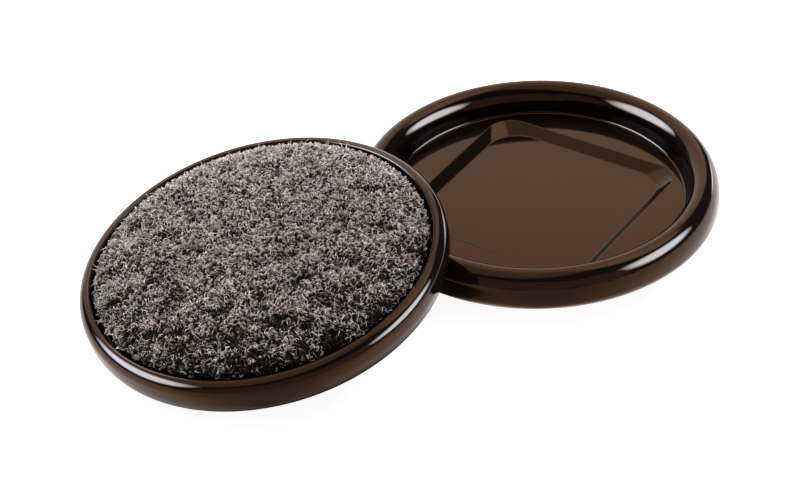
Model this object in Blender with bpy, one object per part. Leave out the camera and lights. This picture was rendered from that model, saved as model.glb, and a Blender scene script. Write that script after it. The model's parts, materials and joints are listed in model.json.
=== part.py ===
"""Two round caster cups for furniture legs, one upright and one turned over against it.

Each cup is a plastic moulding with a rounded rim, a recess with a sunk square seat and an open channel
under the rim, an adhesive disc, and a crowned carpet pad. The upright cup stands on its pad. The other
lies pad side up, with one side of its rim on the floor and the other side on the upright cup's rim.

Lengths are in metres and +Z is up. The origin is the middle of the upright pad's underside.
"""
import math

import bmesh
import bpy
import numpy as np
from mathutils import Matrix, Vector

MM = 0.001

# Moulding: heights are measured from the lip, the lower edge of the outer wall
OUTER_RADIUS = 31.75 * MM
RIM_HEIGHT = 7.0 * MM
BEAD_WIDTH = 5.7 * MM
BEAD_RISE = 4.2 * MM
SHOULDER_RUN = 2.0 * MM
SHOULDER_RISE = 2.2 * MM
LIP_WIDTH = 2.35 * MM
BOWL_WALL = 1.4 * MM
CROWN_WALL = 1.6 * MM
FLOOR_HEIGHT = 2.1 * MM
FLOOR_FILLET = 0.5 * MM
WEB = 0.9 * MM
WEB_CHAMFER_RUN = 1.9 * MM
WEB_CHAMFER_RISE = 0.9 * MM

# Square seat sunk into the recess floor
SEAT_DEPTH = 1.4 * MM
SEAT_DRAFT = 2.0 * MM
SEAT_LEDGE = 1.65 * MM
SEAT_TOP_CORNER = 4.3 * MM
SEAT_FOOT_CORNER = 6.0 * MM
SEAT_CORNER_HEADING = math.radians(10.4)

# Adhesive disc and carpet pad
GLUE_GAP = 0.2 * MM
ADHESIVE_THICKNESS = 0.2 * MM
ADHESIVE_INSET = 0.45 * MM
PAD_THICKNESS = 2.2 * MM
PAD_CLEARANCE = 1.15 * MM
PAD_FLAT_INSET = 0.15 * MM
PAD_EDGE_RUN = 8.0 * MM
PAD_EDGE_SIDE = 0.5 * MM

# How the second cup lies against the first
LEAN_OVERLAP = 9.9 * MM
LEAN_HEADING = math.radians(206.25)
RIM_GAP = 0.3 * MM
FLOOR_CLEARANCE = 0.05 * MM

# Fineness of the round forms
SEGMENTS = 64
CROWN_STEPS = 12
SHOULDER_STEPS = 4
FILLET_STEPS = 3
CHANNEL_STEPS = 4
PAD_EDGE_STEPS = 8
CORNER_STEPS = 10
SMOOTH_ANGLE = math.radians(35.0)

# Search for the tilt at which the second cup comes to rest
LEAN_TILT_LIMIT = math.radians(45.0)
LEAN_SEARCH_STEPS = 40
LEAN_RIM_STEPS = 48
LEAN_RIM_POINTS = 512

# Colours, as linear red, green and blue, with their roughness
PLASTIC_COLOUR = (0.020, 0.012, 0.009)
PLASTIC_ROUGHNESS = 0.12
ADHESIVE_COLOUR = (0.62, 0.58, 0.48)
ADHESIVE_ROUGHNESS = 0.45
CARPET_COLOUR = (0.20, 0.19, 0.18)
CARPET_ROUGHNESS = 0.95

# Sizes that follow from the driving dimensions
FLOOR_RADIUS = OUTER_RADIUS - BEAD_WIDTH
CROWN_RADIUS = OUTER_RADIUS - BEAD_WIDTH / 2
SKIRT_RADIUS = OUTER_RADIUS - LIP_WIDTH
BOWL_RADIUS = FLOOR_RADIUS + BOWL_WALL
SEAT_HEIGHT = FLOOR_HEIGHT - SEAT_DEPTH
WEB_HEIGHT = SEAT_HEIGHT - WEB
WEB_RADIUS = BOWL_RADIUS - WEB_CHAMFER_RUN
PAD_RADIUS = SKIRT_RADIUS - PAD_CLEARANCE
PAD_FLAT_RADIUS = WEB_RADIUS - PAD_FLAT_INSET
PAD_DROOP = (PAD_RADIUS - PAD_FLAT_RADIUS) * WEB_CHAMFER_RISE / WEB_CHAMFER_RUN
ADHESIVE_BASE = PAD_THICKNESS + GLUE_GAP
LIP_LIFT = ADHESIVE_BASE + ADHESIVE_THICKNESS + GLUE_GAP - WEB_HEIGHT
CROWN_CENTRE = LIP_LIFT + RIM_HEIGHT - BEAD_RISE


def clear_scene():
    """Remove every object from the scene."""
    for item in list(bpy.data.objects):
        bpy.data.objects.remove(item, do_unlink=True)


def make_material(name, colour, roughness):
    """Return a Principled material with a colour and a roughness."""
    material = bpy.data.materials.new(name)
    material.use_nodes = True
    shader = material.node_tree.nodes["Principled BSDF"]
    shader.inputs["Base Color"].default_value = (*colour, 1.0)
    shader.inputs["Roughness"].default_value = roughness
    shader.inputs["Metallic"].default_value = 0.0
    return material


def arc(centre, radii, start, stop, steps):
    """Return points on an elliptical arc in the section plane, angles in degrees."""
    angles = [math.radians(start + (stop - start) * i / steps) for i in range(steps + 1)]
    return [(centre[0] + radii[0] * math.cos(a), centre[1] + radii[1] * math.sin(a)) for a in angles]


def shell_section():
    """Return the moulding's turned outline, from the recess floor over the rim to the web's underside."""
    half_bead = BEAD_WIDTH / 2
    floor_turn = (FLOOR_RADIUS - FLOOR_FILLET, FLOOR_HEIGHT + FLOOR_FILLET)
    crown_centre = (CROWN_RADIUS, RIM_HEIGHT - BEAD_RISE)
    half_channel = (SKIRT_RADIUS - BOWL_RADIUS) / 2
    channel_turn = (SKIRT_RADIUS - half_channel, RIM_HEIGHT - CROWN_WALL - half_channel)
    section = arc(floor_turn, (FLOOR_FILLET, FLOOR_FILLET), -90, 0, FILLET_STEPS)
    section += arc(crown_centre, (half_bead, BEAD_RISE), 180, 0, CROWN_STEPS)
    section += arc((OUTER_RADIUS - SHOULDER_RUN, SHOULDER_RISE), (SHOULDER_RUN, SHOULDER_RISE),
                   0, -90, SHOULDER_STEPS)
    section.append((SKIRT_RADIUS, 0.0))
    section += arc(channel_turn, (half_channel, half_channel), 0, 180, CHANNEL_STEPS)
    section.append((BOWL_RADIUS, WEB_HEIGHT + WEB_CHAMFER_RISE))
    section.append((WEB_RADIUS, WEB_HEIGHT))
    return [(radius, height + LIP_LIFT) for radius, height in section]


def pad_section():
    """Return the carpet pad's turned outline, flat where it is glued and drawn in at its crowned edge."""
    edge_back = PAD_THICKNESS + PAD_DROOP
    edge_rise = edge_back - PAD_EDGE_SIDE
    edge_centre = (PAD_RADIUS - PAD_EDGE_RUN, edge_rise)
    section = [(PAD_FLAT_RADIUS, PAD_THICKNESS), (PAD_RADIUS, edge_back)]
    return section + arc(edge_centre, (PAD_EDGE_RUN, edge_rise), 0, -90, PAD_EDGE_STEPS)


def adhesive_section():
    """Return the adhesive disc's turned outline."""
    radius = WEB_RADIUS - ADHESIVE_INSET
    return [(radius, ADHESIVE_BASE + ADHESIVE_THICKNESS), (radius, ADHESIVE_BASE)]


def circle(radius, height):
    """Return a level circle of SEGMENTS points, from +X."""
    turns = [2 * math.pi * i / SEGMENTS for i in range(SEGMENTS)]
    return [Vector((radius * math.cos(turn), radius * math.sin(turn), height)) for turn in turns]


def rounded_square(half_side, corner, height):
    """Return a level square with round corners, SEGMENTS points, from the middle of its +X side."""
    half_steps = (SEGMENTS // 4 - CORNER_STEPS) // 2
    reach = half_side - corner
    quarter = [(half_side, reach * i / half_steps) for i in range(half_steps)]
    quarter += arc((reach, reach), (corner, corner), 0, 90, CORNER_STEPS)
    quarter += [(reach * (1 - i / half_steps), half_side) for i in range(1, half_steps)]
    turns = [Matrix.Rotation(i * math.pi / 2, 3, "Z") for i in range(4)]
    return [turn @ Vector((x, y, height)) for turn in turns for x, y in quarter]


def seat_rings():
    """Return the sunk seat's outlines, from its foot up to the recess floor."""
    half_top = (FLOOR_RADIUS - SEAT_LEDGE - SEAT_TOP_CORNER) / math.sqrt(2) + SEAT_TOP_CORNER
    foot = rounded_square(half_top - SEAT_DRAFT, SEAT_FOOT_CORNER, LIP_LIFT + SEAT_HEIGHT)
    top = rounded_square(half_top, SEAT_TOP_CORNER, LIP_LIFT + FLOOR_HEIGHT)
    return [foot, top]


def skin_rings(rings):
    """Return a bmesh of a closed skin through level rings, flat across the first and the last."""
    bm = bmesh.new()
    loops = [[bm.verts.new(point) for point in ring] for ring in rings]
    for near, far in zip(loops, loops[1:]):
        for i in range(SEGMENTS):
            j = (i + 1) % SEGMENTS
            bm.faces.new((near[i], near[j], far[j], far[i]))
    bm.faces.new(loops[0])
    bm.faces.new(loops[-1])
    return bm


def finish_mesh(bm, name, material):
    """Turn a bmesh into a smooth-shaded mesh with its faces pointing out."""
    bmesh.ops.recalc_face_normals(bm, faces=bm.faces[:])
    mesh = bpy.data.meshes.new(name)
    bm.to_mesh(mesh)
    bm.free()
    mesh.shade_smooth()
    mesh.set_sharp_from_angle(angle=SMOOTH_ANGLE)
    mesh.materials.append(material)
    return mesh


def shell_mesh(material):
    """Return the moulding's mesh."""
    bm = skin_rings(seat_rings() + [circle(*point) for point in shell_section()])
    seat_turn = Matrix.Rotation(SEAT_CORNER_HEADING - math.pi / 4, 3, "Z")
    bmesh.ops.rotate(bm, verts=bm.verts[:], cent=(0, 0, 0), matrix=seat_turn)
    return finish_mesh(bm, "cup_shell", material)


def turned_mesh(name, section, material):
    """Return the mesh of a piece that is turned all over."""
    return finish_mesh(skin_rings([circle(*point) for point in section]), name, material)


def lean_matrix(tilt):
    """Return the turned-over cup's place at a tilt, with the low side of its rim on the floor."""
    away = Vector((math.cos(LEAN_HEADING), math.sin(LEAN_HEADING), 0.0))
    across = Vector((-away.y, away.x, 0.0))
    pad_normal = away * math.sin(tilt) + Vector((0.0, 0.0, math.cos(tilt)))
    axis = -pad_normal
    first = across.cross(axis)
    reach = math.hypot(BEAD_WIDTH / 2 * math.sin(tilt), BEAD_RISE * math.cos(tilt))
    lift = FLOOR_CLEARANCE + CROWN_RADIUS * math.sin(tilt) + CROWN_CENTRE * math.cos(tilt) + reach
    spacing = 2 * OUTER_RADIUS - LEAN_OVERLAP + LIP_LIFT * math.sin(tilt)
    place = away * spacing + Vector((0.0, 0.0, lift))
    matrix = Matrix((first, across, axis)).transposed().to_4x4()
    matrix.translation = place
    return matrix


def rim_clears(tilt, rim_points):
    """Say whether the turned-over rim keeps its gap to the upright rim at a tilt."""
    matrix = np.array(lean_matrix(tilt))
    placed = rim_points @ matrix[:3, :3].T + matrix[:3, 3]
    radial = (np.hypot(placed[:, 0], placed[:, 1]) - CROWN_RADIUS) / (BEAD_WIDTH / 2 + RIM_GAP)
    upward = (placed[:, 2] - CROWN_CENTRE) / (BEAD_RISE + RIM_GAP)
    return np.hypot(radial, upward).min() > 1.0


def resting_tilt():
    """Return the least tilt at which the turned-over cup's rim lies clear on the upright cup's rim."""
    section = np.array(arc((CROWN_RADIUS, CROWN_CENTRE), (BEAD_WIDTH / 2, BEAD_RISE), 0, 180, LEAN_RIM_STEPS))
    around = np.linspace(0.0, 2 * math.pi, LEAN_RIM_POINTS, endpoint=False)
    rim_points = np.stack([
        np.outer(section[:, 0], np.cos(around)).ravel(),
        np.outer(section[:, 0], np.sin(around)).ravel(),
        np.repeat(section[:, 1], len(around)),
    ], axis=1)
    low = 0.0
    high = LEAN_TILT_LIMIT
    for _ in range(LEAN_SEARCH_STEPS):
        middle = (low + high) / 2
        if rim_clears(middle, rim_points):
            high = middle
        else:
            low = middle
    return high


def place_cup(prefix, matrix, meshes):
    """Place one cup's pieces under an empty on the cup's axis."""
    carrier = bpy.data.objects.new(prefix + "_cup", None)
    bpy.context.scene.collection.objects.link(carrier)
    carrier.matrix_world = matrix
    for piece, mesh in meshes.items():
        node = bpy.data.objects.new(prefix + "_" + piece, mesh)
        bpy.context.scene.collection.objects.link(node)
        node.parent = carrier


def main():
    """Build both cups."""
    clear_scene()
    plastic = make_material("brown_gloss_plastic", PLASTIC_COLOUR, PLASTIC_ROUGHNESS)
    glue = make_material("clear_adhesive", ADHESIVE_COLOUR, ADHESIVE_ROUGHNESS)
    carpet = make_material("grey_carpet", CARPET_COLOUR, CARPET_ROUGHNESS)
    meshes = {
        "cup_shell": shell_mesh(plastic),
        "adhesive_disc": turned_mesh("adhesive_disc", adhesive_section(), glue),
        "carpet_pad": turned_mesh("carpet_pad", pad_section(), carpet),
    }
    place_cup("upright", Matrix.Identity(4), meshes)
    place_cup("leaning", lean_matrix(resting_tilt()), meshes)


main()
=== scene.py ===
"""Looks of a pair of caster cups: glossy brown mouldings on heathered carpet pads, one cup turned over.

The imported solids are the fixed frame. Each cup's moulding and carpet pad are modelled once in the upright
cup's own frame, where the pad's underside is at height zero, and copied to where the frame has each cup.
"""
from __future__ import annotations

import json
import logging
import math
from contextlib import contextmanager
from dataclasses import dataclass
from enum import Enum
from typing import Callable, Iterator, Sequence

import bmesh
import bpy
import numpy as np
from mathutils import Matrix, Vector

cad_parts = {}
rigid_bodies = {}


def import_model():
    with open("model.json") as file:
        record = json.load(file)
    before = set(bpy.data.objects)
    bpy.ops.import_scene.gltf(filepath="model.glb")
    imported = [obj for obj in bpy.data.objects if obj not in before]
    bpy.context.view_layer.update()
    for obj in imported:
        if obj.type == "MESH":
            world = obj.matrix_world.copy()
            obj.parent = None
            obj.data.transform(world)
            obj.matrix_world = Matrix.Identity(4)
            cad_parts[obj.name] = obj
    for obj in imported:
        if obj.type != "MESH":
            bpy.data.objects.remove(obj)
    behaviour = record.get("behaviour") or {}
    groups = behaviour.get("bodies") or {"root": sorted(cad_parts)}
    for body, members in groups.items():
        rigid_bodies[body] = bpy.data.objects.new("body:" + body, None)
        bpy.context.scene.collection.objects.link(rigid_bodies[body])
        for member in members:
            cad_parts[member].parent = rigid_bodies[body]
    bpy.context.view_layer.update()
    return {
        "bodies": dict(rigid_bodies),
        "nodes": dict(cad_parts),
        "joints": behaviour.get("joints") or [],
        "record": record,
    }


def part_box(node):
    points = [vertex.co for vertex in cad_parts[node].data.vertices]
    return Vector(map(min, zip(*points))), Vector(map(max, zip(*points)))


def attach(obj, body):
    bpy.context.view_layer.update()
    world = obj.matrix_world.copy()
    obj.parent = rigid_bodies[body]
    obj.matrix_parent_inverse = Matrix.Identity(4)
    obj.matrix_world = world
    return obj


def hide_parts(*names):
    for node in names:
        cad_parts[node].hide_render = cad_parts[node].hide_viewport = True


MM = 0.001
PHOTO_WIDTH = 800
TURN = 2 * math.pi
MERGE_DISTANCE = 0.001 * MM
LEVEL_TOLERANCE = 0.02 * MM
PLACE_DIGITS = 7
TINY = 1e-9
BLACK = (0.0, 0.0, 0.0)
UNIT = (0.0, 1.0)
SIGNED_UNIT = (-1.0, 1.0)
LAMP_MIDDLE = (0.5, 0.5, 0.0)
LEVEL = (1.0, 1.0, 0.0)
MIRROR_DEPTHS = (2.0, 3.0)
NUMBER_RESULTS = ("LENGTH", "DISTANCE", "DOT_PRODUCT")
LOG = logging.getLogger("caster_cups")

Section = list[tuple[float, float]]
Socket = bpy.types.NodeSocket
Tree = bpy.types.NodeTree


class Cup(Enum):
    """The two cups, by the word that starts their nodes' names."""

    UPRIGHT = "upright"
    LEANING = "leaning"

    @property
    def body(self) -> str:
        """Name of the body that the cup's pieces ride on."""
        return f"{self.value}_cup"

    def node(self, piece: str) -> str:
        """Name of one of the cup's nodes."""
        return f"{self.value}_{piece}"


class Lighting(Enum):
    """What a soft light is for: its radiance, and the share of it left in a mirror in a mirror."""

    GLEAM = ((14.0, 20.0, 30.5), 0.06)
    LIGHT = ((7.0, 7.0, 7.0), 1.0)


def start_piece(name: str) -> bpy.types.Object:
    """Name the object that an operator has just added.

    Args:
        name: The piece's name.

    Returns:
        The new object.
    """
    piece = bpy.context.view_layer.objects.active
    piece.name = name
    piece.data.name = name
    return piece


@contextmanager
def edit_mode(piece: bpy.types.Object) -> Iterator[None]:
    """Hold a piece alone in edit mode.

    Args:
        piece: The mesh object to edit.
    """
    bpy.ops.object.select_all(action="DESELECT")
    piece.select_set(True)
    bpy.context.view_layer.objects.active = piece
    bpy.ops.object.mode_set(mode="EDIT")
    yield
    bpy.ops.object.mode_set(mode="OBJECT")


def select_edges(piece: bpy.types.Object, test: Callable[[bmesh.types.BMEdge], bool]) -> None:
    """Select the edges of a mesh in edit mode that pass a test, and nothing else.

    Args:
        piece: The object in edit mode.
        test: Takes an edge and says whether it is selected.
    """
    bpy.ops.mesh.select_mode(type="EDGE")
    bpy.ops.mesh.select_all(action="DESELECT")
    mesh = bmesh.from_edit_mesh(piece.data)
    for edge in mesh.edges:
        edge.select_set(test(edge))
    mesh.select_flush_mode()
    bmesh.update_edit_mesh(piece.data)


def apply_modifier(piece: bpy.types.Object, kind: str, **values: object) -> None:
    """Add a modifier to a piece and apply it.

    Args:
        piece: The mesh object.
        kind: Blender's name of the modifier.
        values: The modifier's settings.
    """
    bpy.ops.object.select_all(action="DESELECT")
    piece.select_set(True)
    bpy.context.view_layer.objects.active = piece
    modifier = piece.modifiers.new(kind.title(), kind)
    for setting, value in values.items():
        setattr(modifier, setting, value)
    bpy.ops.object.modifier_apply(modifier=modifier.name)


def arc(centre: tuple[float, float], radii: tuple[float, float], start: float, stop: float,
        steps: int) -> Section:
    """Return points on an elliptical arc in the section plane.

    Args:
        centre: Radius and height of the arc's centre.
        radii: Its reach along the radius and along the height.
        start: First angle in degrees, from the outward direction.
        stop: Last angle in degrees.
        steps: Number of chords.

    Returns:
        The points, both ends included.
    """
    angles = np.radians(np.linspace(start, stop, steps + 1))
    return [(centre[0] + radii[0] * math.cos(a), centre[1] + radii[1] * math.sin(a)) for a in angles]


def turn_section(name: str, section: Section, segments: int) -> bpy.types.Object:
    """Model a turned piece: extrude a vertex along a section and spin it, then close both ends.

    Args:
        name: The piece's name.
        section: Radius and height of each point, from one flat end to the other.
        segments: Steps of the full turn.

    Returns:
        The closed mesh object, with its faces pointing out.
    """
    bpy.ops.object.select_all(action="DESELECT")
    bpy.ops.mesh.primitive_plane_add(size=MM, location=(0, 0, 0))
    piece = start_piece(name)
    first = Vector((section[0][0], 0.0, section[0][1]))
    with edit_mode(piece):
        bpy.ops.mesh.merge(type="CENTER")
        bpy.ops.mesh.select_all(action="SELECT")
        bpy.ops.transform.translate(value=first)
        for (radius, height), (next_radius, next_height) in zip(section, section[1:]):
            step = (next_radius - radius, 0.0, next_height - height)
            bpy.ops.mesh.extrude_vertices_move(TRANSFORM_OT_translate={"value": step})
        bpy.ops.mesh.select_all(action="SELECT")
        bpy.ops.mesh.spin(steps=segments, angle=TURN, center=(0, 0, 0), axis=(0, 0, 1))
        bpy.ops.mesh.select_all(action="SELECT")
        bpy.ops.mesh.remove_doubles(threshold=MERGE_DISTANCE)
        for end in (section[0], section[-1]):
            select_edges(piece, lambda edge: edge.is_boundary and all(
                abs(vert.co.z - end[1]) < LEVEL_TOLERANCE for vert in edge.verts))
            bpy.ops.mesh.edge_face_add()
        bpy.ops.mesh.select_all(action="SELECT")
        bpy.ops.mesh.normals_make_consistent(inside=False)
    return piece


@dataclass
class Moulding:
    """The plastic cup. Heights are above the lip, the lower edge of the outer wall."""

    outer_radius: float = 31.75 * MM
    rim_height: float = 7.0 * MM
    bead_width: float = 5.7 * MM
    bead_rise: float = 4.2 * MM
    shoulder_run: float = 2.0 * MM
    shoulder_rise: float = 2.2 * MM
    lip_width: float = 2.35 * MM
    lip_round: float = 0.45 * MM
    bowl_wall: float = 1.4 * MM
    crown_wall: float = 1.6 * MM
    floor_height: float = 2.1 * MM
    floor_fillet: float = 0.5 * MM
    web: float = 0.9 * MM
    web_chamfer_run: float = 1.9 * MM
    web_chamfer_rise: float = 0.9 * MM
    seat_depth: float = 1.4 * MM
    seat_draft: float = 1.75 * MM
    seat_ledge: float = 1.65 * MM
    seat_top_corner: float = 4.3 * MM
    seat_foot_corner: float = 6.0 * MM
    seat_corner_heading: float = math.radians(10.4)
    seat_edge_round: float = 0.16 * MM
    seat_foot_fillet: float = 0.18 * MM
    lip_lift: float = 3.0 * MM
    segments: int = 256
    fillet_steps: int = 8
    bead_steps: int = 44
    shoulder_steps: int = 16
    lip_steps: int = 8
    channel_steps: int = 12
    seat_corner_steps: int = 20
    seat_edge_steps: int = 5
    seat_edge_angle: float = math.radians(20)
    seat_edge_clear: float = 1.0 * MM
    seat_cutter_rise: float = 3.0 * MM

    @property
    def floor_radius(self) -> float:
        """Radius of the recess floor."""
        return self.outer_radius - self.bead_width

    @property
    def skirt_radius(self) -> float:
        """Inner radius of the outer wall at the lip."""
        return self.outer_radius - self.lip_width

    @property
    def bowl_radius(self) -> float:
        """Outer radius of the bowl under the rim."""
        return self.floor_radius + self.bowl_wall

    @property
    def web_height(self) -> float:
        """Height of the underside that the pad is glued to."""
        return self.floor_height - self.seat_depth - self.web

    def section(self) -> Section:
        """Return the turned outline, from the recess floor over the rim and the channel to the underside."""
        half_bead = self.bead_width / 2
        half_channel = (self.skirt_radius - self.bowl_radius) / 2
        fillet = self.floor_fillet
        lip = self.lip_round
        outline = arc((self.floor_radius - fillet, self.floor_height + fillet), (fillet, fillet), -90, 0,
                      self.fillet_steps)
        outline += arc((self.outer_radius - half_bead, self.rim_height - self.bead_rise),
                       (half_bead, self.bead_rise), 180, 0, self.bead_steps)
        outline += arc((self.outer_radius - self.shoulder_run, self.shoulder_rise),
                       (self.shoulder_run, self.shoulder_rise), 0, -90, self.shoulder_steps)
        outline += arc((self.skirt_radius + lip, lip), (lip, lip), -90, -180, self.lip_steps)
        outline += arc((self.skirt_radius - half_channel, self.rim_height - self.crown_wall - half_channel),
                       (half_channel, half_channel), 0, 180, self.channel_steps)
        outline.append((self.bowl_radius, self.web_height + self.web_chamfer_rise))
        outline.append((self.bowl_radius - self.web_chamfer_run, self.web_height))
        return [(radius, height + self.lip_lift) for radius, height in outline]

    def seat_cutter(self) -> bpy.types.Object:
        """Model the solid that is sunk out of the recess floor: two round-cornered squares, bridged."""
        half_top = ((self.floor_radius - self.seat_ledge - self.seat_top_corner) / math.sqrt(2)
                    + self.seat_top_corner)
        floor = self.lip_lift + self.floor_height
        outlines = (
            (half_top - self.seat_draft, self.seat_foot_corner, floor - self.seat_depth),
            (half_top, self.seat_top_corner, floor),
        )
        bpy.ops.object.select_all(action="DESELECT")
        bpy.ops.mesh.primitive_plane_add(size=MM, location=(0, 0, 0))
        cutter = start_piece("seat_cutter")
        with edit_mode(cutter):
            bpy.ops.mesh.delete(type="VERT")
            for half_side, corner, height in outlines:
                bpy.ops.mesh.select_all(action="DESELECT")
                bpy.ops.mesh.primitive_plane_add(size=2 * half_side, location=(0, 0, height))
                bpy.ops.mesh.bevel(offset=corner, segments=self.seat_corner_steps, affect="VERTICES")
            bpy.ops.mesh.select_all(action="SELECT")
            bpy.ops.mesh.bridge_edge_loops()
            select_edges(cutter, lambda edge: edge.is_boundary and all(
                vert.co.z < floor - self.seat_depth / 2 for vert in edge.verts))
            bpy.ops.mesh.edge_face_add()
            select_edges(cutter, lambda edge: edge.is_boundary)
            bpy.ops.mesh.extrude_edges_move(TRANSFORM_OT_translate={"value": (0, 0, self.seat_cutter_rise)})
            bpy.ops.mesh.edge_face_add()
            bpy.ops.mesh.select_all(action="SELECT")
            bpy.ops.mesh.normals_make_consistent(inside=False)
        cutter.rotation_euler.z = self.seat_corner_heading - math.pi / 4
        bpy.ops.object.transform_apply(location=False, rotation=True, scale=False)
        return cutter

    def round_seat_edges(self, piece: bpy.types.Object) -> None:
        """Round the seat's upper edge and fillet its foot.

        Args:
            piece: The cup with the seat sunk into it.
        """
        floor = self.lip_lift + self.floor_height
        reach = self.floor_radius - self.floor_fillet - self.seat_edge_clear
        edges = ((floor, self.seat_edge_round), (floor - self.seat_depth, self.seat_foot_fillet))
        for height, width in edges:
            with edit_mode(piece):
                select_edges(piece, lambda edge: (
                    edge.calc_face_angle(0.0) > self.seat_edge_angle
                    and all(abs(vert.co.z - height) < LEVEL_TOLERANCE and vert.co.xy.length < reach
                            for vert in edge.verts)))
                bpy.ops.mesh.bevel(offset=width, segments=self.seat_edge_steps, affect="EDGES",
                                   clamp_overlap=False)

    def build(self) -> bpy.types.Object:
        """Model the moulding in the upright cup's frame.

        Returns:
            The mesh object, smooth shaded with flat faces kept flat.
        """
        piece = turn_section("moulding_master", self.section(), self.segments)
        cutter = self.seat_cutter()
        apply_modifier(piece, "BOOLEAN", object=cutter, operation="DIFFERENCE", solver="EXACT")
        bpy.data.objects.remove(cutter, do_unlink=True)
        self.round_seat_edges(piece)
        bpy.ops.object.shade_smooth()
        apply_modifier(piece, "WEIGHTED_NORMAL", mode="FACE_AREA", weight=80, keep_sharp=True)
        return piece


def feed(tree: Tree, target: Socket, value: object) -> None:
    """Feed an input from a socket, or else set it to a constant."""
    if isinstance(value, Socket):
        tree.links.new(value, target)
    else:
        target.default_value = value


def add_math(tree: Tree, operation: str, *values: object) -> Socket:
    """Add a calculation, which takes a number as a vector of three like numbers.

    Args:
        tree: The nodes to add it to.
        operation: Blender's name of the calculation.
        values: The sockets or constants that go into it.

    Returns:
        Its result.
    """
    node = tree.nodes.new("ShaderNodeVectorMath")
    node.operation = operation
    for target, value in zip(node.inputs, values):
        feed(tree, target, value)
    return node.outputs["Value" if operation in NUMBER_RESULTS else "Vector"]


def add_span(tree: Tree, value: Socket, span: tuple, ends: tuple, smooth: bool = False) -> Socket:
    """Run from one value to another while a third goes through a span.

    Args:
        tree: The nodes to add it to.
        value: The socket that drives it.
        span: Where the driving value starts and stops.
        ends: The results there.
        smooth: Whether the result eases in and out.

    Returns:
        The result.
    """
    node = tree.nodes.new("ShaderNodeMapRange")
    node.interpolation_type = "SMOOTHSTEP" if smooth else "LINEAR"
    for name, number in zip(("From Min", "From Max", "To Min", "To Max"), (*span, *ends)):
        node.inputs[name].default_value = number
    feed(tree, node.inputs["Value"], value)
    return node.outputs["Result"]


def add_fade(tree: Tree, value: Socket, span: tuple) -> Socket:
    """Return a share that eases from 1 to 0 while a value goes through a span."""
    return add_span(tree, value, span, (1.0, 0.0), smooth=True)


def add_ramp(tree: Tree, value: Socket, stops: Sequence[tuple], interpolation: str = "LINEAR") -> Socket:
    """Turn a value into a colour.

    Args:
        tree: The nodes to add it to.
        value: The socket that drives it.
        stops: Places from 0 to 1, with their linear colours.
        interpolation: Blender's name of the way between stops.

    Returns:
        The colour.
    """
    node = tree.nodes.new("ShaderNodeValToRGB")
    node.color_ramp.interpolation = interpolation
    elements = node.color_ramp.elements
    while len(elements) < len(stops):
        elements.new(0.5)
    for element, (position, colour) in zip(elements, stops):
        element.position = position
        element.color = (*colour, 1.0)
    feed(tree, node.inputs["Fac"], value)
    return node.outputs["Color"]


def axis_of(tree: Tree, vector: Socket, axis: str) -> Socket:
    """Return one axis of a vector, by its letter."""
    node = tree.nodes.new("ShaderNodeSeparateXYZ")
    feed(tree, node.inputs["Vector"], vector)
    return node.outputs[axis]


class Pattern:
    """A material's node tree, with the few nodes that the finishes share."""

    def __init__(self, name: str) -> None:
        """Start a material of that name with an empty Principled shader."""
        self.material = bpy.data.materials.new(name)
        self.material.use_nodes = True
        self.tree = self.material.node_tree
        self.shader = self.tree.nodes["Principled BSDF"]
        self.place = self.tree.nodes.new("ShaderNodeTexCoord")

    def noise(self, scale: float, detail: float, roughness: float = 0.5) -> Socket:
        """Add a noise pattern on Object coordinates.

        Args:
            scale: Waves per metre.
            detail: Number of finer layers.
            roughness: Weight of the finer layers.

        Returns:
            The noise, from 0 to 1.
        """
        node = self.tree.nodes.new("ShaderNodeTexNoise")
        node.inputs["Scale"].default_value = scale
        node.inputs["Detail"].default_value = detail
        node.inputs["Roughness"].default_value = roughness
        feed(self.tree, node.inputs["Vector"], self.place.outputs["Object"])
        return node.outputs["Fac"]

    def bump(self, height: Socket, depth: float, strength: float) -> None:
        """Give the shader a bump.

        Args:
            height: The socket that drives it.
            depth: The bump's real height in metres.
            strength: Share of the bump that shows.
        """
        node = self.tree.nodes.new("ShaderNodeBump")
        node.inputs["Distance"].default_value = depth
        node.inputs["Strength"].default_value = strength
        feed(self.tree, node.inputs["Height"], height)
        self.set(Normal=node.outputs["Normal"])

    def set(self, **values: object) -> None:
        """Feed or set the shader's inputs, named with underscores for spaces."""
        for name, value in values.items():
            feed(self.tree, self.shader.inputs[name.replace("_", " ")], value)


@dataclass(frozen=True)
class PlasticFinish:
    """Very dark brown plastic with a mould-polished gloss."""

    tones: tuple = ((0.3, (0.0034, 0.0021, 0.0018)), (0.7, (0.0048, 0.0028, 0.0023)))
    gleam: tuple = (1.0, 0.62, 0.38, 1.0)
    ior: float = 1.5
    roughness: tuple = (0.055, 0.085)
    ripple_depth: float = 0.004 * MM
    ripple_strength: float = 0.35

    def build(self) -> bpy.types.Material:
        """Return the material."""
        pattern = Pattern("brown_gloss_plastic")
        cloud = pattern.noise(scale=90.0, detail=3.0)
        haze = pattern.noise(scale=240.0, detail=5.0, roughness=0.6)
        ripple = pattern.noise(scale=420.0, detail=1.0)
        pattern.set(Base_Color=add_ramp(pattern.tree, cloud, self.tones),
                    Roughness=add_span(pattern.tree, haze, UNIT, self.roughness),
                    IOR=self.ior, Specular_Tint=self.gleam, Metallic=0.0)
        pattern.bump(ripple, self.ripple_depth, self.ripple_strength)
        return pattern.material


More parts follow.
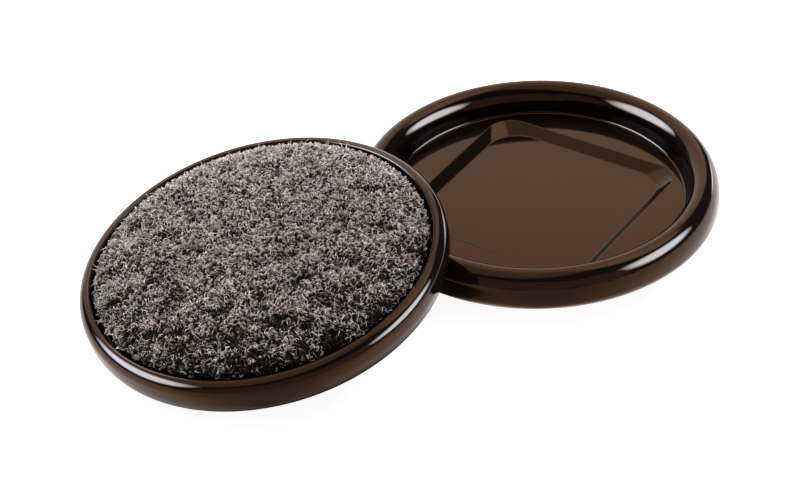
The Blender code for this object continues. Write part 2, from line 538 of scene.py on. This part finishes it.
@dataclass(frozen=True)
class AdhesiveFinish:
    """Tacky cream film with a slight orange peel."""

    tones: tuple = ((0.3, (0.58, 0.53, 0.43)), (0.7, (0.68, 0.64, 0.54)))
    roughness: float = 0.42
    peel_depth: float = 0.02 * MM
    peel_strength: float = 0.6

    def build(self) -> bpy.types.Material:
        """Return the material."""
        pattern = Pattern("cream_adhesive")
        cloud = pattern.noise(scale=350.0, detail=4.0)
        peel = pattern.noise(scale=1500.0, detail=2.0)
        pattern.set(Base_Color=add_ramp(pattern.tree, cloud, self.tones), Roughness=self.roughness,
                    Metallic=0.0)
        pattern.bump(peel, self.peel_depth, self.peel_strength)
        return pattern.material


@dataclass(frozen=True)
class FeltFinish:
    """The pad's dense underlayer, dark between its fibres."""

    tones: tuple = ((0.42, (0.006, 0.005, 0.005)), (0.66, (0.020, 0.017, 0.016)))
    roughness: float = 0.95
    nap_depth: float = 0.2 * MM
    nap_strength: float = 0.9

    def build(self) -> bpy.types.Material:
        """Return the material."""
        pattern = Pattern("dark_felt")
        fleck = pattern.noise(scale=2600.0, detail=6.0, roughness=0.7)
        nap = pattern.noise(scale=1800.0, detail=5.0, roughness=0.7)
        pattern.set(Base_Color=add_ramp(pattern.tree, fleck, self.tones), Roughness=self.roughness,
                    Metallic=0.0, Specular_IOR_Level=0.0)
        pattern.bump(nap, self.nap_depth, self.nap_strength)
        return pattern.material


@dataclass(frozen=True)
class FibreFinish:
    """Heather blend: the fibre's shade is across its UV map, and its root to tip is along it. Both ends of
    each fibre, where it dips into the pile, are darkened as painted shade.
    """

    shades: tuple = (
        (0.00, (0.005, 0.0029, 0.0023)),
        (0.35, (0.015, 0.0101, 0.0081)),
        (0.60, (0.24, 0.216, 0.204)),
        (0.85, (0.77, 0.730, 0.718)),
        (1.00, (0.97, 0.940, 0.940)),
    )
    painted_end_shade: tuple = ((0.0, (0.62, 0.60, 0.58)), (0.45, (1.0, 1.0, 1.0)))
    roughness: float = 0.78

    def build(self) -> bpy.types.Material:
        """Return the material."""
        pattern = Pattern("heather_fibre")
        place = pattern.place.outputs["UV"]
        blend = add_ramp(pattern.tree, axis_of(pattern.tree, place, "X"), self.shades)
        # Painted shade: both ends of each fibre, low in the pile, are darkened.
        length = add_ramp(pattern.tree, axis_of(pattern.tree, place, "Y"), self.painted_end_shade)
        pattern.set(Base_Color=add_math(pattern.tree, "MULTIPLY", blend, length), Roughness=self.roughness,
                    Metallic=0.0, Specular_IOR_Level=0.0)
        return pattern.material


@dataclass(frozen=True)
class FloorFinish:
    """Plain matt studio floor with light of its own, so that shadows on it stay faint."""

    name: str
    paint: float
    own_light: float

    def build(self) -> bpy.types.Material:
        """Return the material."""
        pattern = Pattern(self.name)
        pattern.set(Base_Color=(self.paint, self.paint, self.paint, 1.0), Roughness=1.0,
                    Specular_IOR_Level=0.0, Emission_Color=(1.0, 1.0, 1.0, 1.0),
                    Emission_Strength=self.own_light)
        return pattern.material


@dataclass(frozen=True)
class ShadeFinish:
    """Black that fades out from the middle of a piece."""

    name: str
    fade: tuple

    def build(self) -> bpy.types.Material:
        """Return the material."""
        pattern = Pattern(self.name)
        reach = add_math(pattern.tree, "LENGTH", pattern.place.outputs["Object"])
        pattern.set(Base_Color=(*BLACK, 1.0), Roughness=1.0, Specular_IOR_Level=0.0,
                    Alpha=add_fade(pattern.tree, reach, self.fade))
        return pattern.material


@dataclass
class CarpetPad:
    """The carpet disc: a crowned felt body with a pile of curled fibres. Heights are above its free face."""

    radius: float = 28.25 * MM
    thickness: float = 2.2 * MM
    flat_radius: float = 25.4 * MM
    droop: float = 1.35 * MM
    edge_run: float = 8.0 * MM
    edge_side: float = 0.5 * MM
    edge_turn: float = math.radians(86)
    sunk: float = 1.42 * MM
    inset: float = 0.55 * MM
    side: float = 0.1 * MM
    lump_size: float = 0.9 * MM
    lump_depth: float = 0.14 * MM
    lump_level: float = 0.6
    free_slope: float = 0.3
    middle_radius: float = 0.5 * MM
    segments: int = 180
    profile_steps: int = 120
    edge_steps: int = 32
    face_steps: int = 42

    @property
    def edge_rise(self) -> float:
        """Height that the rounded edge climbs."""
        return self.thickness + self.droop - self.edge_side

    def profile(self) -> np.ndarray:
        """Return the free face's section: way along it, radius, height and turn of its slope, a row each."""
        turn = np.linspace(0.0, self.edge_turn, self.profile_steps)
        radius = self.radius - self.edge_run * (1.0 - np.sin(turn))
        height = self.edge_rise * (1.0 - np.cos(turn))
        way = radius[0] + np.concatenate([[0.0], np.cumsum(np.hypot(np.diff(radius), np.diff(height)))])
        return np.hstack([np.zeros((4, 1)), np.stack([way, radius, height, turn])])

    def face(self, way: np.ndarray) -> tuple[np.ndarray, np.ndarray, np.ndarray, np.ndarray]:
        """Follow the free face outward from the pad's middle and round its edge.

        Args:
            way: Distance along the face from its middle.

        Returns:
            The radius and height there, and the outward slope along the radius and along the height.
        """
        table = self.profile()
        radius, height, turn = (np.interp(way, table[0], row) for row in table[1:])
        across = np.sin(turn) / self.edge_run
        upward = np.cos(turn) / self.edge_rise
        size = np.hypot(across, upward)
        return radius, height, across / size, -upward / size

    def build_body(self) -> bpy.types.Object:
        """Model the felt body, a little inside the pad's outline and lumpy on its free face."""
        edge = self.edge_run - self.inset
        rise = self.thickness + self.droop - self.side - self.sunk
        rim = self.radius - self.inset
        turned = arc((rim - edge, self.sunk + rise), (edge, rise), 0, -90, self.edge_steps)
        rings = np.linspace(rim - edge, self.middle_radius, self.face_steps)[1:]
        inner = [(radius, self.sunk) for radius in rings]
        back = [(self.middle_radius, self.thickness), (self.flat_radius, self.thickness),
                (rim, self.thickness + self.droop)]
        body = turn_section("felt_master", back + turned + inner, self.segments)
        lumps = bpy.data.textures.new("felt_lumps", "CLOUDS")
        lumps.noise_scale = self.lump_size
        free_face = body.vertex_groups.new(name="free_face")
        facing = [vert.index for vert in body.data.vertices if vert.normal.z < self.free_slope]
        free_face.add(facing, 1.0, "REPLACE")
        apply_modifier(body, "DISPLACE", texture=lumps, strength=self.lump_depth, mid_level=self.lump_level,
                       vertex_group=free_face.name)
        body.vertex_groups.clear()
        bpy.ops.object.shade_smooth()
        return body


@dataclass
class Pile:
    """Curled fibres on a carpet pad's free face, each a thin three-sided tube that tapers at both ends."""

    pad: CarpetPad
    count: int
    seed: int
    inner_radius: float = 0.0
    edge_trim: float = 0.12 * MM
    length: tuple = (0.5 * MM, 1.5 * MM)
    thickness: tuple = (0.039 * MM, 0.061 * MM)
    curl: float = 2.0
    waver: float = 0.30
    lift: tuple = (0.10 * MM, 0.75 * MM)
    sink: float = 1.48 * MM
    edge_raise: float = 0.45 * MM
    edge_power: int = 10
    scatter: float = 0.15 * MM
    root_share: float = 0.4
    lift_base: float = 0.55
    lift_by_shade: float = 0.75
    lowest: float = -0.5 * MM
    pale_shade: float = 0.78
    dark_shade: float = 0.27
    shade_spread: float = 0.13
    shade_limits: tuple = (0.02, 0.98)
    pale_share: float = 0.305
    mottle_share: float = 0.115
    # Painted shade and light: the pile's pale share falls toward the side that faces the viewer and rises on
    # the far side.
    painted_shade_fall: float = 0.12
    painted_shade_bearing: float = math.radians(116)
    mottle: tuple = (1.5 * MM, 8.5 * MM)
    mottle_waves: int = 30
    strays: int = 0
    stray_bearing: float = math.radians(252)
    stray_spread: float = math.radians(85)
    stray_height: float = 2.75 * MM
    stray_rise: float = 0.35 * MM
    stray_root: float = 0.3 * MM
    stray_reach: tuple = (0.5 * MM, 1.8 * MM)
    stray_swing: float = 1.6 * MM
    stray_loops: float = 0.3
    stray_bend: float = 0.4
    stray_shade: tuple = (0.8, 1.0)
    stray_thickness: tuple = (0.028 * MM, 0.040 * MM)
    rings: int = 3
    most_in_piece: int = 8000

    def shade_field(self, rng: np.random.Generator, x: np.ndarray, y: np.ndarray) -> np.ndarray:
        """Return the heather's light and dark patches, about -1 to 1, as a sum of random waves.

        Args:
            rng: The pile's random numbers.
            x: Places across the pad.
            y: Places along the pad.
        """
        total = np.zeros_like(x)
        for _ in range(self.mottle_waves):
            heading = rng.uniform(0.0, TURN)
            wave = TURN / rng.uniform(*self.mottle)
            phase = rng.uniform(0.0, TURN)
            total += np.cos(wave * (x * math.cos(heading) + y * math.sin(heading)) + phase)
        return total / math.sqrt(self.mottle_waves / 2)

    def paths(self) -> tuple[np.ndarray, np.ndarray, np.ndarray]:
        """Lay out the fibres.

        Returns:
            Points along each fibre, each fibre's shade from 0 to 1, and its half thickness.
        """
        rng = np.random.default_rng(self.seed)
        outer = self.pad.profile()[0, -1] - self.edge_trim
        start = np.sqrt(rng.uniform(self.inner_radius ** 2, outer ** 2, self.count))
        turn = rng.uniform(0.0, TURN, self.count)
        x0 = start * np.cos(turn)
        y0 = start * np.sin(turn)
        patches = self.shade_field(rng, x0, y0)
        # Painted shade: fewer pale fibres on the side toward the viewer, more on the far side.
        near = (x0 * math.cos(self.painted_shade_bearing) + y0 * math.sin(self.painted_shade_bearing)) / self.pad.radius
        share = self.pale_share + self.mottle_share * patches - self.painted_shade_fall * (near + near ** 3)
        pale = rng.uniform(0.0, 1.0, self.count) < share
        shade = np.where(pale, self.pale_shade, self.dark_shade)
        shade = np.clip(shade + rng.normal(0.0, self.shade_spread, self.count), *self.shade_limits)
        along = np.linspace(-0.5, 0.5, self.rings + 2)
        length = rng.uniform(*self.length, self.count)[:, None]
        spin = rng.uniform(0.0, TURN, self.count)[:, None]
        bend = rng.uniform(-self.curl, self.curl, self.count)[:, None]
        phase = rng.uniform(0.0, TURN, self.count)[:, None]
        heading = spin + bend * along + self.waver * np.sin(TURN * along + phase)
        step = length / (len(along) - 1)
        middle = heading[:, [len(along) // 2]]
        root = length * self.root_share
        x = x0[:, None] + np.cumsum(step * np.cos(heading), axis=1) - root * np.cos(middle)
        y = y0[:, None] + np.cumsum(step * np.sin(heading), axis=1) - root * np.sin(middle)
        lift = (rng.uniform(*self.lift, self.count) * (self.lift_base + self.lift_by_shade * shade))[:, None]
        above = lift * np.cos(math.pi * along) + rng.uniform(-self.scatter, self.scatter, self.count)[:, None]
        way = np.minimum(np.hypot(x, y), outer)
        radius, height, across, upward = self.pad.face(way)
        radius = radius + across * above
        bearing = np.arctan2(y, x)
        depth = self.sink - self.edge_raise * (way / outer) ** self.edge_power
        level = np.maximum(height + depth + upward * above, self.lowest)
        points = np.stack([radius * np.cos(bearing), radius * np.sin(bearing), level], axis=2)
        girth = rng.uniform(*self.thickness, self.count)
        strays = self.stray_paths(rng, along)
        stray_shade = rng.uniform(*self.stray_shade, self.strays)
        stray_girth = rng.uniform(*self.stray_thickness, self.strays)
        return (np.concatenate([strays, points]), np.concatenate([stray_shade, shade]),
                np.concatenate([stray_girth, girth]))

    def stray_paths(self, rng: np.random.Generator, along: np.ndarray) -> np.ndarray:
        """Lay out the loose loops and hairs that lie out over the moulding's lip.

        Args:
            rng: The pile's random numbers.
            along: Places along a fibre, from -0.5 to 0.5.

        Returns:
            Points along each loop or hair.
        """
        bearing = self.stray_bearing + self.stray_spread * rng.uniform(-1.0, 1.0, self.strays)[:, None]
        swing = rng.uniform(-1.0, 1.0, self.strays)[:, None] * self.stray_swing / self.pad.radius
        out = rng.uniform(*self.stray_reach, self.strays)[:, None]
        loop = rng.uniform(0.0, 1.0, self.strays)[:, None] < self.stray_loops
        reach = np.where(loop, np.cos(math.pi * along), along + 0.5)
        radius = self.pad.radius - self.stray_root + out * reach
        turn = bearing + swing * (along + self.stray_bend * along ** 2)
        level = self.stray_height - rng.uniform(0.0, self.stray_rise, self.strays)[:, None] * reach
        return np.stack([radius * np.cos(turn), radius * np.sin(turn), level], axis=2)

    def build(self, name: str) -> list[bpy.types.Object]:
        """Model the pile, in as many pieces as its size needs.

        Args:
            name: Start of the pieces' names.

        Returns:
            The mesh objects, in the pad's own frame.
        """
        points, shade, girth = self.paths()
        pieces = []
        for number, first in enumerate(range(0, len(points), self.most_in_piece), start=1):
            share = slice(first, first + self.most_in_piece)
            pieces.append(tube_mesh(f"{name}_{number}", points[share], shade[share], girth[share]))
        return pieces


def tube_mesh(name: str, points: np.ndarray, shade: np.ndarray, girth: np.ndarray) -> bpy.types.Object:
    """Model fibres as closed three-sided tubes, pointed at both ends.

    Args:
        name: The piece's name.
        points: Points along each fibre.
        shade: Each fibre's shade, which becomes its place across the UV map.
        girth: Each fibre's half thickness.

    Returns:
        The mesh object.
    """
    sides = 3
    ring_places = (0.1, 0.9)
    fibres, stations, _ = points.shape
    rings = stations - 2
    tangent = points[:, 2:] - points[:, :-2]
    tangent /= np.maximum(np.linalg.norm(tangent, axis=2, keepdims=True), TINY)
    across = np.cross(tangent, np.array([0.0, 0.0, 1.0]))
    across /= np.maximum(np.linalg.norm(across, axis=2, keepdims=True), TINY)
    upright = np.cross(across, tangent)
    corner = TURN * np.arange(sides) / sides
    offset = (across[:, :, None] * np.cos(corner)[None, None, :, None]
              + upright[:, :, None] * np.sin(corner)[None, None, :, None])
    skin = points[:, 1:-1, None] + offset * girth[:, None, None, None]
    verts = np.concatenate([points[:, :1], skin.reshape(fibres, -1, 3), points[:, -1:]], axis=1)
    per_fibre = rings * sides + 2
    last = per_fibre - 1
    quads = [(1 + r * sides + s, 1 + r * sides + (s + 1) % sides, 1 + (r + 1) * sides + (s + 1) % sides,
              1 + (r + 1) * sides + s) for r in range(rings - 1) for s in range(sides)]
    tris = [(0, 1 + (s + 1) % sides, 1 + s) for s in range(sides)]
    tris += [(last, last - sides + s, last - sides + (s + 1) % sides) for s in range(sides)]
    tris += [(a, b, c) for a, b, c, _ in quads] + [(a, c, d) for a, _, c, d in quads]
    faces = (np.arange(fibres)[:, None, None] * per_fibre + np.array(tris)[None]).reshape(-1, 3)
    mesh = bpy.data.meshes.new(name)
    mesh.from_pydata(verts.reshape(-1, 3), [], faces.tolist())
    along = np.concatenate([[0.0], np.repeat(np.linspace(*ring_places, rings), sides), [1.0]])
    tip = 1.0 - np.abs(2.0 * along - 1.0)
    layer = mesh.uv_layers.new(name="fibre_shade")
    uv = np.stack([np.repeat(shade, per_fibre), np.tile(tip, fibres)], axis=1)
    layer.uv.foreach_set("vector", uv[faces.ravel()].astype(np.float32).ravel())
    mesh.shade_smooth()
    piece = bpy.data.objects.new(name, mesh)
    bpy.context.scene.collection.objects.link(piece)
    return piece


@dataclass
class CasterCup:
    """One cup: its moulding, adhesive disc, felt body and pile, where the frame has it."""

    cup: Cup
    frame: dict

    def middle(self, piece: str) -> Vector:
        """Return the middle of one of the cup's turned solids, which is on the cup's axis."""
        node = self.frame["nodes"][self.cup.node(piece)]
        points = np.unique(np.round([vert.co[:] for vert in node.data.vertices], PLACE_DIGITS), axis=0)
        return Vector(points.mean(axis=0))

    def place(self) -> Matrix:
        """Return the matrix from the upright cup's frame to this cup's place, read from its solids."""
        if self.cup is Cup.UPRIGHT:
            return Matrix.Identity(4)
        glue = self.middle("adhesive_disc")
        axis = (glue - self.middle("carpet_pad")).normalized()
        away = Vector((-axis.x, -axis.y, 0.0)).normalized()
        across = Vector((-away.y, away.x, 0.0))
        low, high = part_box(Cup.UPRIGHT.node("adhesive_disc"))
        matrix = Matrix((across.cross(axis), across, axis)).transposed().to_4x4()
        matrix.translation = glue - axis * (low.z + high.z) / 2
        return matrix

    def add(self, master: bpy.types.Object, name: str, material: bpy.types.Material,
            slot: str) -> bpy.types.Object:
        """Copy a master piece to this cup and dress it.

        Args:
            master: The piece in the upright cup's frame.
            name: What the copy is called after the cup's word.
            material: Its finish.
            slot: The record's material slot; not used.

        Returns:
            The copy, with its place in its mesh.
        """
        mesh = master.data.copy()
        mesh.transform(self.place())
        piece = bpy.data.objects.new(self.cup.node(name), mesh)
        mesh.name = piece.name
        bpy.context.scene.collection.objects.link(piece)
        mesh.materials.clear()
        mesh.materials.append(material)
        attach(piece, self.cup.body)
        LOG.info("%s: %d faces", piece.name, len(mesh.polygons))
        return piece


def direction(heading: float, elevation: float) -> Vector:
    """Return the way to a heading and an elevation in degrees, where heading 0 is away from the viewer."""
    turn = math.radians(heading)
    rise = math.radians(elevation)
    return Vector((math.sin(turn) * math.cos(rise), math.cos(turn) * math.cos(rise), math.sin(rise)))


@dataclass(frozen=True)
class Softbox:
    """A rectangular soft light, given by the way to it from the object. Angles are in degrees."""

    name: str
    lighting: Lighting
    heading: float
    elevation: float
    width: float
    height: float
    distance: float = 3.0
    fade: tuple = (0.26, 0.62)

    def soften(self, data: bpy.types.Light) -> None:
        """Fade the light towards its corners, and dim it where it is seen in a mirror in a mirror.

        Args:
            data: The lamp's data.
        """
        data.use_nodes = True
        tree = data.node_tree
        place = tree.nodes.new("ShaderNodeNewGeometry").outputs["Parametric"]
        share = add_fade(tree, add_math(tree, "DISTANCE", place, LAMP_MIDDLE), self.fade)
        depth = tree.nodes.new("ShaderNodeLightPath").outputs["Ray Depth"]
        _, second_mirror = self.lighting.value
        dim = add_span(tree, depth, MIRROR_DEPTHS, (1.0, second_mirror))
        feed(tree, tree.nodes["Emission"].inputs["Strength"], add_math(tree, "MULTIPLY", share, dim))

    def build(self) -> bpy.types.Object:
        """Add the lamp, which faces the object and either shows in gloss or lights surfaces.

        Returns:
            The lamp.
        """
        way = direction(self.heading, self.elevation)
        data = bpy.data.lights.new(self.name, "AREA")
        data.shape = "RECTANGLE"
        data.size = 2 * self.distance * math.tan(math.radians(self.width) / 2)
        data.size_y = 2 * self.distance * math.tan(math.radians(self.height) / 2)
        radiance, _ = self.lighting.value
        peak = max(radiance)
        data.color = [share / peak for share in radiance]
        data.energy = peak * math.pi * data.size * data.size_y
        self.soften(data)
        lamp = bpy.data.objects.new(self.name, data)
        lamp.location = way * self.distance
        lamp.rotation_mode = "QUATERNION"
        lamp.rotation_quaternion = way.to_track_quat("Z", "Y")
        lamp.visible_camera = False
        lamp.visible_diffuse = self.lighting is Lighting.LIGHT
        lamp.visible_glossy = self.lighting is Lighting.GLEAM
        bpy.context.scene.collection.objects.link(lamp)
        return lamp


@dataclass(frozen=True)
class Glow:
    """A soft-edged patch of the room, given by the way to its middle. Angles are in degrees."""

    heading: float
    elevation: float
    spread: tuple
    radiance: tuple

    def build(self, tree: Tree) -> Socket:
        """Add the patch to the world's nodes.

        Args:
            tree: The world's nodes.

        Returns:
            The patch's radiance, as a colour.
        """
        way = tree.nodes.new("ShaderNodeTexCoord").outputs["Generated"]
        along = add_math(tree, "DOT_PRODUCT", way, direction(self.heading, self.elevation))
        inner, outer = (math.cos(math.radians(angle)) for angle in self.spread)
        return add_ramp(tree, along, ((outer, BLACK), (inner, self.radiance)), "EASE")


@dataclass
class Studio:
    """Pale floor, dim room with a bright backdrop behind the object, and soft lights on both sides.

    The backdrop's tones go by elevation in degrees. The floor's tones, as gloss sees them, go by how far
    their heading points away from the viewer, from -1 to 1.
    """

    softboxes: tuple = (
        Softbox("left_gleam", Lighting.GLEAM, heading=-90.0, elevation=30.0, width=54.0, height=36.0),
        Softbox("right_gleam", Lighting.GLEAM, heading=103.0, elevation=27.0, width=50.0, height=31.0),
        Softbox("left_light", Lighting.LIGHT, heading=-45.0, elevation=46.0, width=50.0, height=42.0),
        Softbox("right_light", Lighting.LIGHT, heading=50.0, elevation=46.0, width=50.0, height=42.0),
    )
    room: tuple = (0.055, 0.050, 0.048)
    second_mirror: float = 0.25
    backdrop: Glow = Glow(heading=0.0, elevation=32.0, spread=(41.0, 52.0), radiance=(1.0, 1.0, 1.0))
    backdrop_middle: float = -0.17
    backdrop_side: tuple = (0.46, 0.60)
    backdrop_tones: tuple = (
        (20.0, (1.20, 1.00, 0.80)),
        (33.5, (1.20, 0.95, 0.72)),
        (35.1, (1.24, 0.89, 0.61)),
        (36.8, (1.20, 0.78, 0.53)),
        (45.0, (1.30, 1.00, 0.78)),
        (70.0, (1.30, 0.94, 0.74)),
    )
    patches: tuple = (
        Glow(heading=-97.0, elevation=75.0, spread=(22.0, 34.0), radiance=(0.78, 0.60, 0.48)),
        Glow(heading=60.0, elevation=62.0, spread=(11.0, 21.0), radiance=(1.90, 1.60, 1.35)),
        *(Glow(heading=heading, elevation=18.0, spread=(14.0, 25.0), radiance=(0.40, 0.29, 0.28))
          for heading in (180.0, 147.0, -147.0)),
        Glow(heading=42.0, elevation=-4.0, spread=(8.0, 12.0), radiance=(5.6, 5.9, 6.4)),
    )
    floor_tones: tuple = (
        (-1.00, (0.55, 0.42, 0.38)),
        (-0.80, (0.85, 0.58, 0.46)),
        (-0.45, (1.25, 0.98, 0.72)),
        (0.00, (1.40, 1.20, 1.12)),
        (0.50, (1.45, 1.36, 1.28)),
        (0.80, (1.80, 1.70, 1.62)),
        (1.00, (1.10, 1.05, 1.00)),
    )
    pale_floor: FloorFinish = FloorFinish("pale_floor", paint=0.8, own_light=0.92)
    floor_radius: float = 1.0
    floor_segments: int = 128
    contact_shade: ShadeFinish = ShadeFinish("contact_shade", fade=(26.0 * MM, 36.5 * MM))
    contact_shift: tuple = (2.2 * MM, -1.5 * MM, -0.3 * MM)

    def build_floor(self, finish: FloorFinish | ShadeFinish, radius: float, place: Vector,
                    in_gloss: bool) -> None:
        """Add a round floor.

        Args:
            finish: Its finish.
            radius: Its reach.
            place: Its middle.
            in_gloss: Whether it shows in gloss, or else to the viewer and as soft light.
        """
        bpy.ops.object.select_all(action="DESELECT")
        bpy.ops.mesh.primitive_circle_add(vertices=self.floor_segments, radius=radius, fill_type="NGON",
                                          location=place)
        floor = start_piece(finish.name)
        floor.data.materials.append(finish.build())
        floor.visible_camera = not in_gloss
        floor.visible_diffuse = not in_gloss
        floor.visible_glossy = in_gloss
        floor.visible_shadow = False

    def backdrop_sides(self, tree: Tree, way: Socket) -> Socket:
        """Return a mask that is 1 between the backdrop's sides and fades past them.

        Args:
            tree: The world's nodes.
            way: The direction that is looked in.
        """
        offset = add_math(tree, "SUBTRACT", way, (self.backdrop_middle, 0.0, 0.0))
        return add_fade(tree, axis_of(tree, add_math(tree, "ABSOLUTE", offset), "X"), self.backdrop_side)

    def tone_ramp(self, tree: Tree, value: Socket, tones: Sequence[tuple]) -> Socket:
        """Return a colour that follows one axis of a direction.

        Args:
            tree: The world's nodes.
            value: The axis, from -1 to 1.
            tones: Places along it, with their linear colours.
        """
        low, high = SIGNED_UNIT
        stops = [((reach - low) / (high - low), colour) for reach, colour in tones]
        return add_ramp(tree, add_span(tree, value, SIGNED_UNIT, UNIT), stops)

    def with_floor(self, tree: Tree, way: Socket, radiance: Socket) -> Socket:
        """Put the floor's tones, as gloss sees them, under the horizon.

        Args:
            tree: The world's nodes.
            way: The direction that is looked in.
            radiance: The room above the horizon.

        Returns:
            The whole room's radiance.
        """
        heading = add_math(tree, "NORMALIZE", add_math(tree, "MULTIPLY", way, LEVEL))
        above = tree.nodes.new("ShaderNodeMath")
        above.operation = "GREATER_THAN"
        above.inputs[1].default_value = 0.0
        feed(tree, above.inputs[0], axis_of(tree, way, "Z"))
        mix = tree.nodes.new("ShaderNodeMix")
        mix.data_type = "RGBA"
        feed(tree, mix.inputs["Factor"], above.outputs["Value"])
        feed(tree, mix.inputs["A"], self.tone_ramp(tree, axis_of(tree, heading, "Y"), self.floor_tones))
        feed(tree, mix.inputs["B"], radiance)
        return mix.outputs["Result"]

    def build_room(self) -> None:
        """Light the room, with a white ground where the camera looks past the floor."""
        world = bpy.data.worlds.new("studio_room")
        bpy.context.scene.world = world
        world.use_nodes = True
        tree = world.node_tree
        lit = tree.nodes["Background"]
        way = tree.nodes.new("ShaderNodeTexCoord").outputs["Generated"]
        tones = [(math.sin(math.radians(elevation)), colour) for elevation, colour in self.backdrop_tones]
        radiance = add_math(tree, "MULTIPLY", self.backdrop.build(tree), self.backdrop_sides(tree, way))
        radiance = add_math(tree, "MULTIPLY", radiance, self.tone_ramp(tree, axis_of(tree, way, "Z"), tones))
        for patch in self.patches:
            radiance = add_math(tree, "MAXIMUM", radiance, patch.build(tree))
        radiance = add_math(tree, "MAXIMUM", radiance, self.room)
        feed(tree, lit.inputs["Color"], self.with_floor(tree, way, radiance))
        ray = tree.nodes.new("ShaderNodeLightPath")
        mirrors = add_math(tree, "MULTIPLY", ray.outputs["Ray Depth"], ray.outputs["Is Glossy Ray"])
        feed(tree, lit.inputs["Strength"], add_span(tree, mirrors, MIRROR_DEPTHS, (1.0, self.second_mirror)))
        white = tree.nodes.new("ShaderNodeBackground")
        white.inputs["Color"].default_value = (1.0, 1.0, 1.0, 1.0)
        mix = tree.nodes.new("ShaderNodeMixShader")
        feed(tree, mix.inputs["Fac"], ray.outputs["Is Camera Ray"])
        feed(tree, mix.inputs[1], lit.outputs["Background"])
        feed(tree, mix.inputs[2], white.outputs["Background"])
        feed(tree, tree.nodes["World Output"].inputs["Surface"], mix.outputs["Shader"])

    def build(self) -> None:
        """Build the studio round the object."""
        low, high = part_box(Cup.LEANING.node("cup_shell"))
        under = Vector(((low.x + high.x) / 2, (low.y + high.y) / 2, 0.0)) + Vector(self.contact_shift)
        self.build_floor(self.pale_floor, self.floor_radius, Vector(), in_gloss=False)
        self.build_floor(self.contact_shade, self.contact_shade.fade[1], under, in_gloss=True)
        self.build_room()
        for softbox in self.softboxes:
            softbox.build()
        view = bpy.context.scene.view_settings
        view.view_transform = "Standard"
        view.look = "None"


@dataclass
class PhotoCamera:
    """The photograph's viewpoint, fitted to both cups' outlines. Angles are in radians."""

    place: tuple = (-24.585 * MM, -408.753 * MM, 292.010 * MM)
    pitch: float = 0.6274
    roll: float = -0.0507
    focal_pixels: float = 2845.0
    sensor: float = 36.0
    clip: tuple = (0.01, 100.0)

    def build(self) -> bpy.types.Object:
        """Add the camera and make it the scene's.

        Returns:
            The camera object.
        """
        data = bpy.data.cameras.new("photo_camera")
        data.sensor_width = self.sensor
        data.lens = self.focal_pixels / PHOTO_WIDTH * self.sensor
        data.clip_start, data.clip_end = self.clip
        camera = bpy.data.objects.new("photo_camera", data)
        turn = Matrix.Rotation(math.pi / 2 - self.pitch, 4, "X") @ Matrix.Rotation(self.roll, 4, "Z")
        camera.matrix_world = Matrix.Translation(self.place) @ turn
        bpy.context.scene.collection.objects.link(camera)
        bpy.context.scene.camera = camera
        return camera


def main() -> None:
    """Build both cups, the studio and the camera, and log each piece's face count."""
    logging.basicConfig(level=logging.INFO)
    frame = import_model()
    plastic = PlasticFinish().build()
    felt = FeltFinish().build()
    fibre = FibreFinish().build()
    adhesive = AdhesiveFinish().build()
    pad = CarpetPad()
    moulding = Moulding().build()
    felt_body = pad.build_body()
    piles = {
        Cup.LEANING: Pile(pad, count=98000, seed=11, strays=36).build("pile_master"),
        Cup.UPRIGHT: Pile(pad, count=4000, seed=23, inner_radius=21.0 * MM,
                          lift=(0.05 * MM, 0.40 * MM), lowest=0.07 * MM).build("edge_pile_master"),
    }
    for cup in Cup:
        caster = CasterCup(cup, frame)
        shell = caster.add(moulding, "moulding", plastic, "brown_plastic")
        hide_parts(cup.node("cup_shell"))
        body = caster.add(felt_body, "felt_body", felt, "carpet")
        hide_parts(cup.node("carpet_pad"))
        for number, tuft in enumerate(piles[cup], start=1):
            caster.add(tuft, f"carpet_pile_{number}", fibre, "carpet")
        glue = frame["nodes"][cup.node("adhesive_disc")]
        glue.data.materials.clear()
        glue.data.materials.append(adhesive)
    for master in [moulding, felt_body, *piles[Cup.LEANING], *piles[Cup.UPRIGHT]]:
        bpy.data.objects.remove(master, do_unlink=True)
    Studio().build()
    PhotoCamera().build()


if __name__ == "__main__":
    main()
